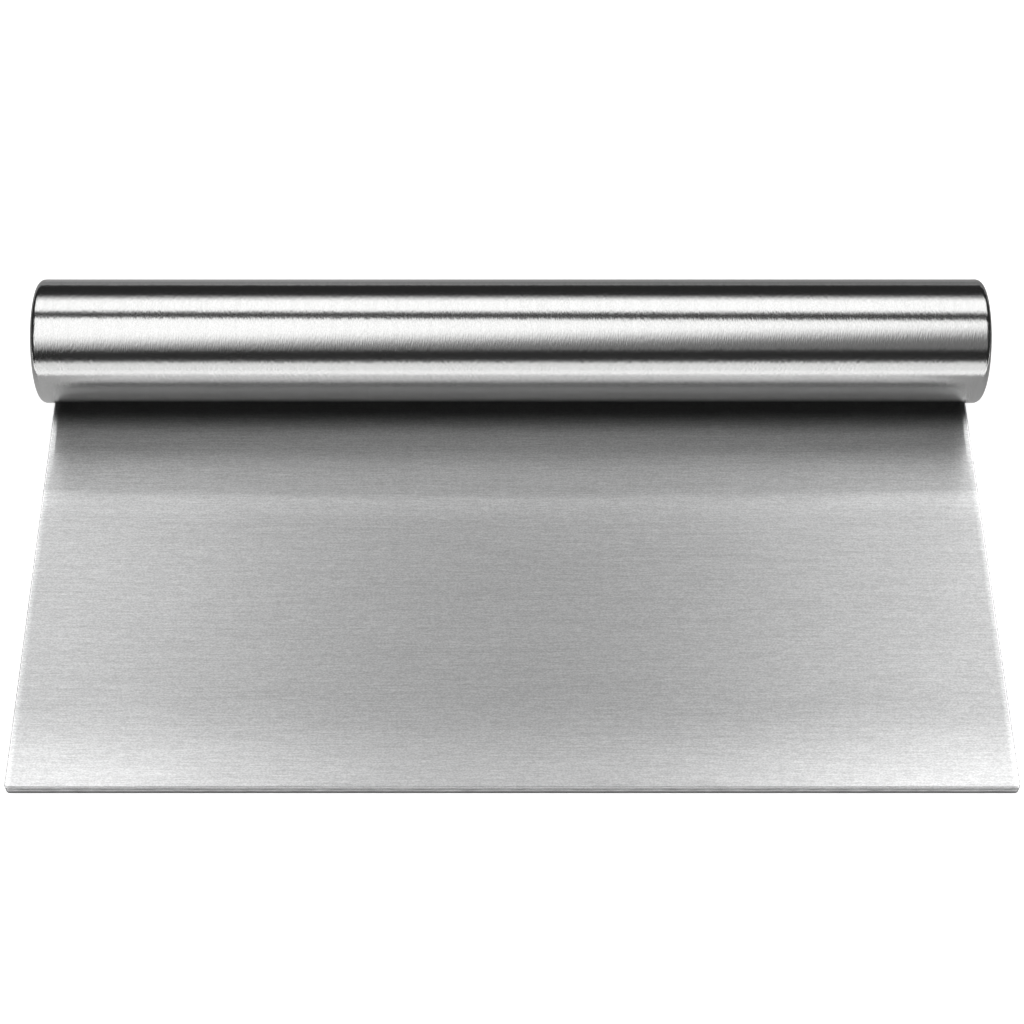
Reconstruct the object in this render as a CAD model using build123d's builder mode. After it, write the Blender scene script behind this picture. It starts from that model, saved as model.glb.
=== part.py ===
from build123d import *
from math import cos, radians, sin, sqrt
import os

# Icing smoother, all stainless steel: a flat rectangular blade with a round tube handle
# lying across its back edge and welded to it.
#
# Millimetres, +Z up. X runs along the handle and Y across the blade, with the free edge
# towards -Y. The blade lies flat on Z = 0, and the origin is under the middle of the tool.

# Blade sheet
blade_width = 150.0
blade_reach = 75.0              # free edge to the line where the handle touches the blade
blade_thickness = 2.0
blade_corner_radius = 0.6       # the four corners, seen from above
blade_edge_break = 0.3          # both faces, all the way round

# Handle tube
handle_diameter = 20.0
handle_wall = 1.0
handle_overhang = 1.0           # past each side of the blade, end cap included

# End caps, pressed cups whose skirts sit in the tube
cap_face_thickness = 1.5
cap_rim_radius = 1.0            # polished round-over
cap_skirt_length = 4.0
cap_skirt_wall = 1.0
cap_skirt_clearance = 0.1

# Weld bead in the corner behind the handle
weld_root_gap = 0.1             # height of the crevice where the bead begins
weld_climb_angle = 38.0         # degrees, from the touching line round the tube to the bead's top
weld_foot = 1.35                # how much further the bead reaches on the blade than on the tube
weld_crown = 0.25               # outward bulge of its outer face
weld_side_margin = 2.0          # from each side of the blade
blade_margin = 1.5              # blade left bare behind the bead

# Sizes that follow
handle_radius = handle_diameter / 2
handle_length = blade_width + 2 * handle_overhang
bore_radius = handle_radius - handle_wall
tube_length = handle_length - 2 * cap_face_thickness
axis_height = blade_thickness + handle_radius

# The bead's toes, measured back from the touching line and up from the blade
weld_top_back = handle_radius * sin(radians(weld_climb_angle))
weld_top_rise = handle_radius * (1 - cos(radians(weld_climb_angle)))
weld_toe_back = weld_top_back + weld_foot
weld_root_back = sqrt(handle_radius**2 - (handle_radius - weld_root_gap) ** 2)
weld_length = blade_width - 2 * weld_side_margin

# Places along Y: the tool is centred between its free edge and whatever reaches furthest back
blade_tail = weld_toe_back + blade_margin
rear_reach = max(handle_radius, blade_tail)
contact_y = (blade_reach - rear_reach) / 2
blade_length = blade_reach + blade_tail
blade_middle_y = contact_y + blade_tail - blade_length / 2


# Blade: one flat sheet, its corners rounded and every edge eased
with BuildPart() as blade:
    with BuildSketch():
        with Locations((0, blade_middle_y)):
            outline = Rectangle(blade_width, blade_length)
        fillet(outline.vertices(), radius=blade_corner_radius)
    extrude(amount=blade_thickness)
    faces_up_and_down = blade.faces().filter_by(Axis.Z)
    fillet(faces_up_and_down.edges(), radius=blade_edge_break)

blade.part.label = "blade"


# Handle tube: it touches the blade along one line
with BuildPart() as handle_tube:
    with BuildSketch(Plane.YZ.offset(-tube_length / 2)):
        with Locations((contact_y, axis_height)):
            Circle(handle_radius)
            Circle(bore_radius, mode=Mode.SUBTRACT)
    extrude(amount=tube_length)

handle_tube.part.label = "handle_tube"


# End cap: the half section of a cup, turned round the handle's axis.
# The section's first coordinate runs outwards along the handle from the end of the tube,
# and its second is the distance from the axis. Side is -1 for left and 1 for right.
def end_cap(side):
    tube_end = Plane(
        origin=(side * tube_length / 2, contact_y, axis_height),
        x_dir=(side, 0, 0),
        z_dir=(0, side, 0),
    )
    skirt_radius = bore_radius - cap_skirt_clearance
    skirt_bore = skirt_radius - cap_skirt_wall
    with BuildPart() as cap:
        with BuildSketch(tube_end):
            with BuildLine():
                outer = Polyline(
                    (0, 0),
                    (cap_face_thickness, 0),
                    (cap_face_thickness, handle_radius - cap_rim_radius),
                )
                rim = JernArc(outer @ 1, (0, 1), cap_rim_radius, 90)
                Polyline(
                    rim @ 1,
                    (0, handle_radius),
                    (0, skirt_radius),
                    (-cap_skirt_length, skirt_radius),
                    (-cap_skirt_length, skirt_bore),
                    (0, skirt_bore),
                    (0, 0),
                )
            make_face()
        revolve(axis=Axis(tube_end.origin, tube_end.x_dir))
    return cap


end_cap_left = end_cap(-1)
end_cap_left.part.label = "end_cap_left"

end_cap_right = end_cap(1)
end_cap_right.part.label = "end_cap_right"


# Weld bead: it fills the corner behind the touching line, from the root out to its toes,
# flat below on the blade and hollow above where it lies against the tube
with BuildPart() as rear_weld:
    blade_top = Plane(origin=(-weld_length / 2, contact_y, blade_thickness), x_dir=(0, 1, 0), z_dir=(1, 0, 0))
    with BuildSketch(blade_top):
        with BuildLine():
            foot = Line((weld_root_back, 0), (weld_toe_back, 0))
            face = SagittaArc(foot @ 1, (weld_top_back, weld_top_rise), -weld_crown)
            seat = RadiusArc(face @ 1, (weld_root_back, weld_root_gap), handle_radius)
            Line(seat @ 1, foot @ 0)
        make_face()
    extrude(amount=weld_length)

rear_weld.part.label = "rear_weld"


os.makedirs("parts", exist_ok=True)
for piece in (blade, handle_tube, end_cap_left, end_cap_right, rear_weld):
    export_step(piece.part, f"parts/{piece.part.label}.step")
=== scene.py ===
import bpy
from math import atan2, cos, exp, radians, sin
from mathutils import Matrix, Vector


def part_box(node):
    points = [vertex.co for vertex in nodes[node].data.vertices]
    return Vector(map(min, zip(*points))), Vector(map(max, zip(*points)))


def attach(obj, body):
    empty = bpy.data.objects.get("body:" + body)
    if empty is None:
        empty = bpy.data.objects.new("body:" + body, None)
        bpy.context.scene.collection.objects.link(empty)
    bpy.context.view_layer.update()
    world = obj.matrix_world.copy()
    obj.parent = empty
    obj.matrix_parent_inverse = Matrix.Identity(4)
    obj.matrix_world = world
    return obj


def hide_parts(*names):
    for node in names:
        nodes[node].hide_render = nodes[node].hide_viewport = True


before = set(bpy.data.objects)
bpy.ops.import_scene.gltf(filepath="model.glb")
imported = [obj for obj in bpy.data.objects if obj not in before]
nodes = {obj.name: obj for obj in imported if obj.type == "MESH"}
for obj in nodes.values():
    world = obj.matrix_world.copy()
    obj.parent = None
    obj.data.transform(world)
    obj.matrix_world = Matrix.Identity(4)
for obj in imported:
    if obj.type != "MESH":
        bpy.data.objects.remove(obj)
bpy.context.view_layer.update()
mm = 0.001


# The blade: one flat sheet of stainless steel, ground with a straight satin grain that runs
# along its free edge. It is sheared to size, its edges are rounded over with painted highlights
# along them, and the handle is welded across its back edge.
blade = nodes["blade"]
blade_low, blade_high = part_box("blade")


def new_steel(name):
    material = bpy.data.materials.new(name)
    material.use_nodes = True
    steel = material.node_tree.nodes["Principled BSDF"]
    steel.inputs["Metallic"].default_value = 1.0
    return material, steel


def add_node(material, kind, **settings):
    node = material.node_tree.nodes.new(kind)
    for name, value in settings.items():
        setattr(node, name, value)
    return node


def connect(material, start, end):
    material.node_tree.links.new(start, end)


def noise(material, length, detail=2.0):
    """Noise whose grains are length = (x, y, z) long, in metres."""
    place = add_node(material, "ShaderNodeTexCoord")
    mapping = add_node(material, "ShaderNodeMapping")
    mapping.inputs["Scale"].default_value = [1 / side for side in length]
    texture = add_node(material, "ShaderNodeTexNoise")
    texture.inputs["Scale"].default_value = 1.0
    texture.inputs["Detail"].default_value = detail
    connect(material, place.outputs["Object"], mapping.inputs["Vector"])
    connect(material, mapping.outputs["Vector"], texture.inputs["Vector"])
    return texture.outputs["Fac"]


def spread(material, value, start, end, low, high):
    """The value from start to end becomes low to high."""
    node = add_node(material, "ShaderNodeMapRange", interpolation_type="SMOOTHSTEP")
    node.inputs["From Min"].default_value = start
    node.inputs["From Max"].default_value = end
    node.inputs["To Min"].default_value = low
    node.inputs["To Max"].default_value = high
    connect(material, value, node.inputs["Value"])
    return node.outputs["Result"]


def arithmetic(material, operation, first, second):
    node = add_node(material, "ShaderNodeMath", operation=operation)
    for socket, value in zip(node.inputs, (first, second)):
        if isinstance(value, (int, float)):
            socket.default_value = value
        else:
            connect(material, value, socket)
    return node.outputs["Value"]


def times(material, first, *others):
    """The values multiplied together."""
    for other in others:
        first = arithmetic(material, "MULTIPLY", first, other)
    return first


def length_of(material, first, second):
    """How far off a place is that lies first one way and second square to it."""
    squares = [times(material, side, side) for side in (first, second)]
    return arithmetic(material, "SQRT", arithmetic(material, "ADD", *squares), 0)


def shaded(material, colour, shade):
    """The colour, made lighter or darker by shade."""
    node = add_node(material, "ShaderNodeVectorMath", operation="SCALE")
    node.inputs[0].default_value = colour
    connect(material, shade, node.inputs["Scale"])
    return node.outputs["Vector"]


def bump(material, *heights):
    """The surface raised by each (value, depth), added up."""
    total = 0
    for value, depth in heights:
        total = arithmetic(material, "ADD", total, arithmetic(material, "MULTIPLY", value, depth))
    node = add_node(material, "ShaderNodeBump")
    node.inputs["Distance"].default_value = 1.0
    connect(material, total, node.inputs["Height"])
    return node.outputs["Normal"]


def place_of(material, kind="Object"):
    place = add_node(material, "ShaderNodeTexCoord")
    split = add_node(material, "ShaderNodeSeparateXYZ")
    connect(material, place.outputs[kind], split.inputs["Vector"])
    return split.outputs


def grain_spreads_along(material, direction):
    """Scratches spread a reflection square to themselves: direction is that way, on the object."""
    node = add_node(
        material, "ShaderNodeVectorTransform",
        vector_type="VECTOR", convert_from="OBJECT", convert_to="WORLD",
    )
    if isinstance(direction, tuple):
        node.inputs["Vector"].default_value = direction
    else:
        connect(material, direction, node.inputs["Vector"])
    return node.outputs["Vector"]


blade_colour = (0.664, 0.666, 0.668)
contact_y = (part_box("handle_tube")[0].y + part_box("handle_tube")[1].y) / 2
weld_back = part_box("rear_weld")[1].y
line_back = 24.4 * mm       # from the handle's touching line to the middle of the bowed line
line_bow = 0.16             # how strongly that line bends back towards the two sides
rim_width = 1.1 * mm        # polished strip along each side
rim_drop = 0.08 * mm
worn_reach = 16 * mm        # from the free edge, worn smoother by use
worn_roughness = 0.305
ground_roughness = 0.42

blade_steel, steel = new_steel("blade_steel")
x, y, z = place_of(blade_steel)
from_middle = arithmetic(blade_steel, "ABSOLUTE", x, 0)
fine_grain = noise(blade_steel, (0.28 * mm, 0.15 * mm, 0.15 * mm), 0.0)
scratches = noise(blade_steel, (1.6 * mm, 0.14 * mm, 0.14 * mm), 1.0)
long_scratches = noise(blade_steel, (9 * mm, 0.16 * mm, 0.16 * mm), 1.0)
patches = noise(blade_steel, (40 * mm, 12 * mm, 12 * mm), 2.0)
tone = times(
    blade_steel,
    spread(blade_steel, fine_grain, 0.25, 0.75, 0.89, 1.11),
    spread(blade_steel, scratches, 0.25, 0.75, 0.92, 1.08),
    spread(blade_steel, long_scratches, 0.25, 0.75, 0.94, 1.06),
)

# Painted shade: the blade is made much darker towards the corner under the handle, where the handle
# shades it
crevice_shade = times(
    blade_steel,
    spread(blade_steel, y, contact_y - 12.5 * mm, contact_y - 5.8 * mm, 0, 1),
    spread(blade_steel, y, weld_back - 0.5 * mm, weld_back + 0.3 * mm, 1, 0),
)
tone = times(blade_steel, tone, spread(blade_steel, crevice_shade, 0, 1, 1, 0.1))

# Along a faint bowed line the blade is lighter; just behind it, on the handle's side, is a band of
# painted shade from the handle
line_y = times(blade_steel, x, x, line_bow)
line_y = arithmetic(blade_steel, "ADD", line_y, contact_y - line_back)
past_line = arithmetic(blade_steel, "SUBTRACT", y, line_y)
tone = times(
    blade_steel, tone,
    spread(blade_steel, past_line, -5 * mm, -0.2 * mm, 1, 1.13),
    spread(blade_steel, past_line, 0, 1.7 * mm, 1, 0.82),
    spread(blade_steel, past_line, 1.7 * mm, 7 * mm, 1, 1.08),
)

# The two sides are rounded over, and lightened along them as a painted highlight
rim_and_highlight = spread(blade_steel, from_middle, blade_high.x - rim_width, blade_high.x - 0.1 * mm, 0, 1)
tone = times(blade_steel, tone, spread(blade_steel, rim_and_highlight, 0, 1, 1, 1.15))

# The cut edges are left as the shears leave them, a smooth band between two torn ones, all darkened as
# painted shade and darkest at the bottom
across_x, across_y, across_z = place_of(blade_steel, "Normal")
cut = spread(blade_steel, arithmetic(blade_steel, "ABSOLUTE", across_z, 0), 0.25, 0.6, 1, 0)
tearing = noise(blade_steel, (2.5 * mm, 2.5 * mm, 0.4 * mm), 2.0)
cut_tone_and_shade = times(
    blade_steel,
    spread(blade_steel, z, 0.7 * mm, 1.0 * mm, 0.07, 0.42),
    spread(blade_steel, z, 1.3 * mm, 1.7 * mm, 1, 0.5),
    spread(blade_steel, tearing, 0.25, 0.75, 0.7, 1.3),
)

# Painted shade: only the free edge is quite dark below, standing in for the shaded floor right under it
painted_shade_limit = spread(blade_steel, across_y, -0.6, -0.1, 0, 0.35)
cut_tone_and_shade = arithmetic(blade_steel, "MAXIMUM", cut_tone_and_shade, painted_shade_limit)
cut_shade = arithmetic(blade_steel, "SUBTRACT", cut_tone_and_shade, 1)
cut_shade = arithmetic(blade_steel, "ADD", times(blade_steel, cut, cut_shade), 1)
tone = times(blade_steel, tone, cut_shade)

# Painted highlight: the free edge's round-over is made the brightest
edge_highlight = arithmetic(blade_steel, "SUBTRACT", 1, cut)
edge_highlight = times(blade_steel, edge_highlight, spread(blade_steel, across_y, -0.5, -0.1, 1, 0))
tone = times(blade_steel, tone, spread(blade_steel, edge_highlight, 0, 1, 1, 1.45))

# The round-over of the two sides is darkened along a thin line
side_slope = arithmetic(blade_steel, "ABSOLUTE", across_x, 0)
side_line = arithmetic(blade_steel, "SUBTRACT", 1, cut)
side_line = times(blade_steel, side_line, spread(blade_steel, side_slope, 0.35, 0.75, 0, 1))
tone = times(blade_steel, tone, spread(blade_steel, side_line, 0, 1, 1, 0.5))
connect(blade_steel, shaded(blade_steel, blade_colour, tone), steel.inputs["Base Color"])

# The free edge is worn smoother by use, and brushed steel looks smoother at a glancing angle
roughness = arithmetic(
    blade_steel, "ADD",
    spread(blade_steel, patches, 0.3, 0.7, -0.006, 0.006),
    spread(blade_steel, y, blade_low.y, blade_low.y + worn_reach, worn_roughness, ground_roughness),
)
glance = add_node(blade_steel, "ShaderNodeLayerWeight")
glance.inputs["Blend"].default_value = 0.5
smoother = spread(blade_steel, glance.outputs["Facing"], 0.2, 0.5, 1, 0.3)
roughness = times(blade_steel, roughness, smoother)
roughness = arithmetic(blade_steel, "ADD", roughness, times(blade_steel, cut, 0.1))
connect(blade_steel, roughness, steel.inputs["Roughness"])
normal = bump(
    blade_steel,
    (scratches, 0.002 * mm),
    (rim_and_highlight, -rim_drop),
    (times(blade_steel, cut, tearing), 0.01 * mm),
)
connect(blade_steel, normal, steel.inputs["Normal"])
connect(blade_steel, grain_spreads_along(blade_steel, (0, 1, 0)), steel.inputs["Tangent"])
steel.inputs["Anisotropic"].default_value = 1.0
blade.data.materials[0] = blade_steel


# The handle tube: drawn stainless tube, 20 mm across, brushed round and round with a fine
# satin grain. It lies on the blade along one line and is welded to it from behind.
tube = nodes["handle_tube"]
tube_low, tube_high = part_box("handle_tube")
tube_radius = (tube_high.z - tube_low.z) / 2
tube_y = (tube_low.y + tube_high.y) / 2
tube_z = (tube_low.z + tube_high.z) / 2
tube_end = tube_high.x

handle_colour = (0.68, 0.68, 0.675)
satin = 0.18                # roughness of the brushed finish
satin_drift = 0.008
turned_anisotropy = 0.6


def turned_finish(material):
    """The tone and the normal of steel brushed round and round the handle."""
    fine_grain = noise(material, (0.15 * mm, 0.3 * mm, 0.3 * mm), 0.0)
    scratches = noise(material, (0.15 * mm, 0.8 * mm, 0.8 * mm), 0.0)
    rings = noise(material, (1.1 * mm, 30 * mm, 30 * mm), 2.0)
    tone = times(
        material,
        spread(material, fine_grain, 0.25, 0.75, 0.965, 1.035),
        spread(material, scratches, 0.25, 0.75, 0.98, 1.02),
        spread(material, rings, 0.3, 0.7, 0.985, 1.015),
    )
    return tone, bump(material, (scratches, 0.016 * mm))


handle_steel, steel = new_steel("handle_steel")
tone, normal = turned_finish(handle_steel)
connect(handle_steel, shaded(handle_steel, handle_colour, tone), steel.inputs["Base Color"])
roughness = spread(handle_steel, tone, 0.93, 1.07, satin + satin_drift, satin - satin_drift)
connect(handle_steel, roughness, steel.inputs["Roughness"])
connect(handle_steel, normal, steel.inputs["Normal"])
connect(handle_steel, grain_spreads_along(handle_steel, (1, 0, 0)), steel.inputs["Tangent"])
steel.inputs["Anisotropic"].default_value = turned_anisotropy
tube.data.materials[0] = handle_steel


# The end caps: pressed stainless cups let into the tube, welded, ground flush and brushed with
# it. The round-over is polished, and the flat face keeps the fine rings of its turning.
caps = [nodes["end_cap_left"], nodes["end_cap_right"]]
cap_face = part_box("end_cap_right")[1].x
cap_round_over = 1 * mm
turning_pitch = 0.16 * mm
polish = 0.12               # roughness of the round-over, and what the turned face adds to it

cap_steel, steel = new_steel("cap_steel")
tone, normal = turned_finish(cap_steel)
x, y, z = place_of(cap_steel)
from_middle = arithmetic(cap_steel, "ABSOLUTE", x, 0)
forwards = arithmetic(cap_steel, "SUBTRACT", y, tube_y)
upwards = arithmetic(cap_steel, "SUBTRACT", z, tube_z)
from_axis = length_of(cap_steel, forwards, upwards)
polish_start = cap_face - cap_round_over
polished = spread(cap_steel, from_middle, polish_start, polish_start + 0.25 * mm, 0, 1)
on_face = spread(cap_steel, from_middle, cap_face - 0.1 * mm, cap_face - 0.01 * mm, 0, 1)
turning = add_node(cap_steel, "ShaderNodeTexNoise", noise_dimensions="1D")
turning.inputs["Scale"].default_value = 1 / turning_pitch
connect(cap_steel, from_axis, turning.inputs["W"])
face_tone = spread(cap_steel, turning.outputs["Fac"], 0.3, 0.7, -0.08, 0.06)
face_tone = arithmetic(cap_steel, "ADD", times(cap_steel, on_face, face_tone), 1)
tone = times(cap_steel, tone, face_tone)
connect(cap_steel, shaded(cap_steel, handle_colour, tone), steel.inputs["Base Color"])
roughness = arithmetic(
    cap_steel, "ADD",
    spread(cap_steel, polished, 0, 1, satin, polish),
    spread(cap_steel, on_face, 0, 1, 0, polish),
)
connect(cap_steel, roughness, steel.inputs["Roughness"])
connect(cap_steel, normal, steel.inputs["Normal"])

# The brushing runs round the cap everywhere, so it spreads light outwards from the axis
outwards = add_node(cap_steel, "ShaderNodeCombineXYZ")
inwards_x = times(cap_steel, arithmetic(cap_steel, "SIGN", x, 0), from_axis, -1)
connect(cap_steel, inwards_x, outwards.inputs["X"])
connect(cap_steel, forwards, outwards.inputs["Y"])
connect(cap_steel, upwards, outwards.inputs["Z"])
connect(cap_steel, grain_spreads_along(cap_steel, outwards.outputs["Vector"]), steel.inputs["Tangent"])
steel.inputs["Anisotropic"].default_value = turned_anisotropy
for cap in caps:
    cap.data.materials[0] = cap_steel


# The weld: one bead of stainless filler laid in the corner behind the handle, a ripple at a
# time. It holds the handle on the blade and is left as it was laid, with a straw tint.
weld_low, weld_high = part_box("rear_weld")
weld_root = weld_low.y
weld_toe = weld_high.y
weld_top = weld_high.z
weld_foot = weld_low.z
weld_top_y = tube_y + (tube_radius**2 - (tube_z - weld_top) ** 2) ** 0.5
ripple_pitch = 1.25 * mm
weld_cuts = 5               # slices that let its top follow the tube


def deselect():
    bpy.ops.object.select_all(action="DESELECT")


def apply_place():
    bpy.ops.object.transform_apply(location=True, rotation=True, scale=True)


def add_modifier(piece, kind, **settings):
    """A modifier, applied straight away."""
    modifier = piece.modifiers.new(kind.lower(), kind)
    for name, value in settings.items():
        setattr(modifier, name, value)
    bpy.ops.object.modifier_apply(modifier=modifier.name)


# The body of the bead: a long block, its top cut to the round of the tube and its back leaning
deselect()
bpy.ops.mesh.primitive_cube_add(
    size=1,
    location=(0, (weld_root + weld_toe) / 2, (weld_foot + weld_top) / 2),
    scale=(weld_high.x - weld_low.x - 2 * mm, weld_toe - weld_root, weld_top - weld_foot),
)
weld = bpy.context.object
weld.name = "weld_bead"
apply_place()
bpy.ops.object.mode_set(mode="EDIT")
for number in range(1, weld_cuts + 1):
    cut_y = weld_root + number * (weld_top_y - weld_root) / weld_cuts
    bpy.ops.mesh.select_all(action="SELECT")
    bpy.ops.mesh.bisect(plane_co=(0, cut_y, 0), plane_no=(0, 1, 0))
bpy.ops.object.mode_set(mode="OBJECT")
for vertex in weld.data.vertices:
    if vertex.co.z > weld_foot + 0.5 * mm:
        vertex.co.y = min(vertex.co.y, weld_top_y)
        vertex.co.z = tube_z - (tube_radius**2 - (vertex.co.y - tube_y) ** 2) ** 0.5

# Its ripples: one flat drop leaning back along the bead, repeated to the far end
face_lean = atan2(weld_toe - weld_top_y, weld_top - weld_foot)
ripples = round((weld_high.x - weld_low.x - 3 * mm) / ripple_pitch)
deselect()
bpy.ops.mesh.primitive_uv_sphere_add(
    segments=16,
    ring_count=10,
    radius=1,
    location=(
        -ripples * ripple_pitch / 2,
        (weld_toe + weld_top_y) / 2 - 0.12 * mm,
        (weld_foot + weld_top) / 2 - 0.08 * mm,
    ),
    rotation=(face_lean, 0, radians(14)),
    scale=(0.95 * mm, 0.42 * mm, 1.3 * mm),
)
ripple = bpy.context.object
ripple.name = "ripple"
apply_place()
add_modifier(
    ripple, "ARRAY",
    count=ripples + 1,
    use_relative_offset=False,
    use_constant_offset=True,
    constant_offset_displace=(ripple_pitch, 0, 0),
)
weld.select_set(True)
bpy.context.view_layer.objects.active = weld
bpy.ops.object.join()
add_modifier(weld, "REMESH", mode="VOXEL", voxel_size=0.17 * mm)
add_modifier(weld, "SMOOTH", factor=0.5, iterations=2)
bpy.ops.object.shade_smooth()

weld_colour = (0.56, 0.54, 0.50)
straw_tint = (0.42, 0.33, 0.22)
weld_steel, steel = new_steel("weld_steel")
drift = noise(weld_steel, (9 * mm, 2 * mm, 2 * mm))
skin = noise(weld_steel, (0.25 * mm, 0.25 * mm, 0.25 * mm), 3.0)
tint = add_node(weld_steel, "ShaderNodeMix", data_type="RGBA")
tint.inputs["A"].default_value = (*weld_colour, 1)
tint.inputs["B"].default_value = (*straw_tint, 1)
connect(weld_steel, spread(weld_steel, drift, 0.35, 0.7, 0.0, 0.8), tint.inputs["Factor"])
connect(weld_steel, tint.outputs["Result"], steel.inputs["Base Color"])
connect(weld_steel, spread(weld_steel, skin, 0.3, 0.7, 0.24, 0.4), steel.inputs["Roughness"])
connect(weld_steel, bump(weld_steel, (skin, 0.02 * mm)), steel.inputs["Normal"])
weld.data.materials.clear()
weld.data.materials.append(weld_steel)
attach(weld, "root")
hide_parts("rear_weld")


# The floor: plain and white. It keeps the soft shadow of the tool.
deselect()
bpy.ops.mesh.primitive_plane_add(size=4.0, location=(0, 0, 0))
floor = bpy.context.object
floor.name = "floor"


def seen_ray(material):
    """1 where the camera, metal or glass sees a surface, 0 where its light falls on something."""
    path = add_node(material, "ShaderNodeLightPath")
    seen = arithmetic(material, "MAXIMUM", path.outputs["Is Camera Ray"], path.outputs["Is Glossy Ray"])
    return arithmetic(material, "MAXIMUM", seen, path.outputs["Is Transmission Ray"])


floor_paint = bpy.data.materials.new("floor_paint")
floor_paint.use_nodes = True
floor_paint.node_tree.nodes.clear()
paint = add_node(floor_paint, "ShaderNodeBsdfDiffuse")
paint.inputs["Color"].default_value = (0.8, 0.8, 0.8, 1)
glow = add_node(floor_paint, "ShaderNodeEmission")
mixed = add_node(floor_paint, "ShaderNodeAddShader")
surface = add_node(floor_paint, "ShaderNodeOutputMaterial")
x, y, z = place_of(floor_paint)
far_off = length_of(floor_paint, x, y)
whiteness = spread(floor_paint, far_off, 0.3, 0.9, 0.75, 1)
connect(floor_paint, times(floor_paint, seen_ray(floor_paint), whiteness), glow.inputs["Strength"])
connect(floor_paint, paint.outputs["BSDF"], mixed.inputs[0])
connect(floor_paint, glow.outputs["Emission"], mixed.inputs[1])
connect(floor_paint, mixed.outputs["Shader"], surface.inputs["Surface"])
floor.data.materials.append(floor_paint)


# The light: two bent sheets of light round the tool, one for the handle and one for the
# blade, with cards at both ends and on the floor, and a soft lamp overhead for the floor.
card_length = 5.0
end_x = 2.48                # the cards at both ends
floor_depth = 1.2           # the card on the floor, and how high it lies
card_lift = 0.5 * mm


def lights_only(light, *pieces):
    receivers = bpy.data.collections.new(light.name + "_receivers")
    for piece in pieces:
        receivers.objects.link(piece)
    light.light_linking.receiver_collection = receivers


def step(value, edge, softness):
    """0 below edge, 1 above it, with a soft step as wide as softness on each side."""
    part = min(max((value - edge + softness) / (2 * softness), 0), 1)
    return part * part * (3 - 2 * part)


def light_card(name, columns, rows, shape, clear, *pieces):
    """A card of cloth that glows on the pieces alone. Shape gives the place and the level of each
    of its points, from how far across and how far along the card that is, 0 to 1."""
    deselect()
    bpy.ops.mesh.primitive_grid_add(x_subdivisions=columns, y_subdivisions=rows, size=1)
    card = bpy.context.object
    card.name = name
    levels = card.data.attributes.new("level", "FLOAT", "POINT")
    for vertex in card.data.vertices:
        spot, level = shape(vertex.co.x + 0.5, vertex.co.y + 0.5)
        vertex.co = spot
        levels.data[vertex.index].value = level
    material = bpy.data.materials.new(name)
    material.use_nodes = True
    material.node_tree.nodes.clear()
    level = add_node(material, "ShaderNodeAttribute", attribute_name="level")
    glow = add_node(material, "ShaderNodeEmission")
    surface = add_node(material, "ShaderNodeOutputMaterial")
    connect(material, level.outputs["Fac"], glow.inputs["Strength"])
    if clear:
        through = add_node(material, "ShaderNodeBsdfTransparent")
        mixed = add_node(material, "ShaderNodeAddShader")
        connect(material, glow.outputs["Emission"], mixed.inputs[0])
        connect(material, through.outputs["BSDF"], mixed.inputs[1])
        connect(material, mixed.outputs["Shader"], surface.inputs["Surface"])
    else:
        connect(material, glow.outputs["Emission"], surface.inputs["Surface"])
    card.data.materials.append(material)
    card.visible_camera = False
    lights_only(card, *pieces)
    return card


def place_round(across, along):
    """The place across a bent sheet, and its angle from the front horizon, 0, to the rear, 180."""
    return card_length * (across - 0.5), 187 * along - 2


def over_the_tool(x, degrees, radius):
    """A place on a half cylinder round the handle."""
    return x, tube_y - radius * cos(radians(degrees)), tube_z + radius * sin(radians(degrees))


def handle_sheet(across, along):
    """One band of light low in front, one high in front that fades out downwards, and one
    behind. The high one reaches further down on the left."""
    x, degrees = place_round(across, along)
    side = min(max(x / 0.5, -1), 1)
    horizon = 1.03 * step(-degrees, -13.4, 4)
    front = 0.87 * step(degrees, 58 + 19.5 * side, 15) + 0.13 * step(degrees, 36.5 + side, 4)
    front *= (1.4 - 0.07 * side) * step(-degrees, -(94.1 - 4.9 * side), 1.8)
    rear = 1.42 * step(degrees, 108.1 - 2.8 * side, 3.4) * step(-degrees, -139.5, 9)
    level = 0.025 + (horizon + front + rear) * (1 - step(abs(x), 0.62, 0.12))
    return over_the_tool(x, degrees, 0.90), level


def blade_sheet(across, along):
    """Light low in front, overhead and behind, stronger past the two sides of the blade."""
    x, degrees = place_round(across, along)
    side = step(abs(x - 0.008), 0.158, 0.09)
    horizon = 1.15 * step(-degrees, -27.5, 3)
    overhead = (1.15 - 0.25 * side) * step(degrees, 88, 6) * step(-degrees, -103, 5)
    rear = (2.05 + 1.3 * side) * step(degrees, 109, 7) * step(-degrees, -(130 + 12 * side), 8)
    low = (0.5 + 0.4 * side) * step(degrees, 148, 8)
    level = horizon + (overhead + rear + low) * (1 + 0.1 * x) * (1 + 0.5 * step(abs(x), 0.55, 0.25))
    return over_the_tool(x, degrees, 0.84), level


def left_end(across, along):
    """A card one metre high, dim but for its top."""
    return (-end_x, 1.9 * across - 0.92, along), 0.1 + 0.9 * step(along, 0.8, 0.15)


def right_end(across, along):
    (x, y, z), level = left_end(across, along)
    return (-x, y, z), level


light_card("handle_sheet", 80, 187, handle_sheet, False, tube, *caps, weld)
light_card("blade_sheet", 80, 187, blade_sheet, True, blade)
light_card("left_end", 2, 20, left_end, False, tube, *caps, weld)
light_card("right_end", 2, 20, right_end, False, tube, *caps, weld)


def blade_left_end(across, along):
    return left_end(across, along)[0], 0.9


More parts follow.
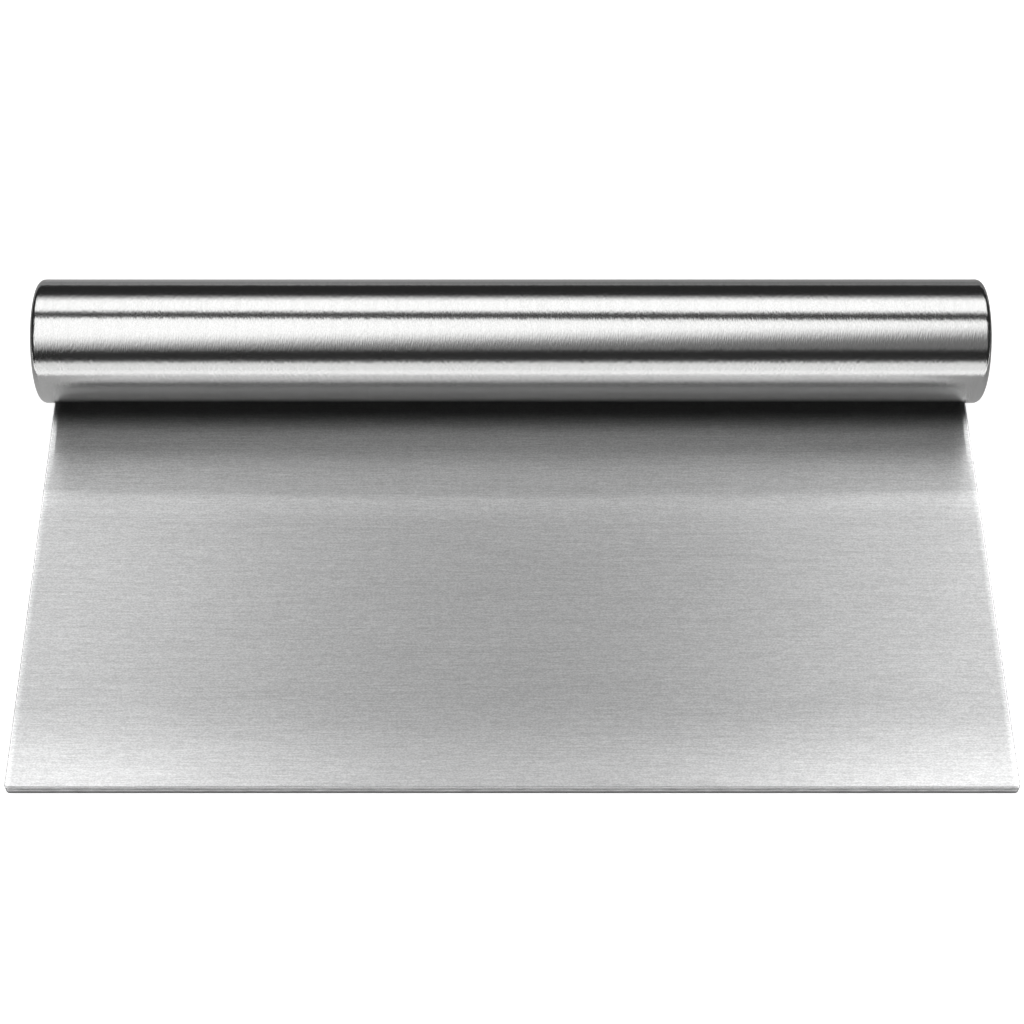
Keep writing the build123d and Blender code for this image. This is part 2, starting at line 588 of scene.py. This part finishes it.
def blade_right_end(across, along):
    return right_end(across, along)[0], 0.9


light_card("blade_left_end", 2, 2, blade_left_end, False, blade)
light_card("blade_right_end", 2, 2, blade_right_end, False, blade)


# A grey card on the floor, beside and behind the tool, for the handle alone
behind = 92 * mm            # from the card's front to the back of the tool


def grey_card(across, along):
    """Brightest close to the handle's outline, and a little brighter again far behind it."""
    x = card_length * (across - 0.5)
    depth = floor_depth * along**2
    away = max(abs(x) - tube_end, depth - behind, 0)
    level = 0.15 + 0.26 * step(depth, 0.25, 0.1) + 0.4 * exp(-away / 0.05)
    level *= 1 - 0.2 * step(x, 0, 0.05)
    return (x, blade_low.y + depth, card_lift), level


card = light_card("grey_card", 160, 60, grey_card, False, tube, *caps)
card.visible_diffuse = False
card.visible_shadow = False


# A pale card just above it, so the blade's cut edges see the floor and not the grey card
def blade_floor(across, along):
    x, y, z = grey_card(across, along)[0]
    return (x, y, z + 0.1 * mm), 0.45


card = light_card("blade_floor", 2, 2, blade_floor, True, blade)
card.visible_diffuse = False
card.visible_shadow = False

deselect()
bpy.ops.object.light_add(type="AREA", location=(0, 0.1, 0.6))
lamp = bpy.context.object
lamp.name = "floor_lamp"
lamp.data.shape = "SQUARE"
lamp.data.size = 0.7
lamp.data.energy = 4.0
lights_only(lamp, floor)

# The world: white behind everything
world = bpy.data.worlds.new("studio")
bpy.context.scene.world = world
world.use_nodes = True
background = world.node_tree.nodes["Background"]
background.inputs["Color"].default_value = (1, 1, 1, 1)
connect(world, seen_ray(world), background.inputs["Strength"])

# The camera: in front of the blade, looking down on it as the photograph does
looks_down = 57.03          # degrees
deselect()
bpy.ops.object.camera_add(
    location=(-3.14 * mm, -185.3 * mm, 296.9 * mm),
    rotation=(radians(90 - looks_down), 0, 0),
)
camera = bpy.context.object
camera.data.sensor_width = 36
camera.data.lens = 77.54
camera.data.shift_x = 21 / 1024
camera.data.clip_start = 0.01
bpy.context.scene.camera = camera
bpy.context.scene.view_settings.view_transform = "Standard"
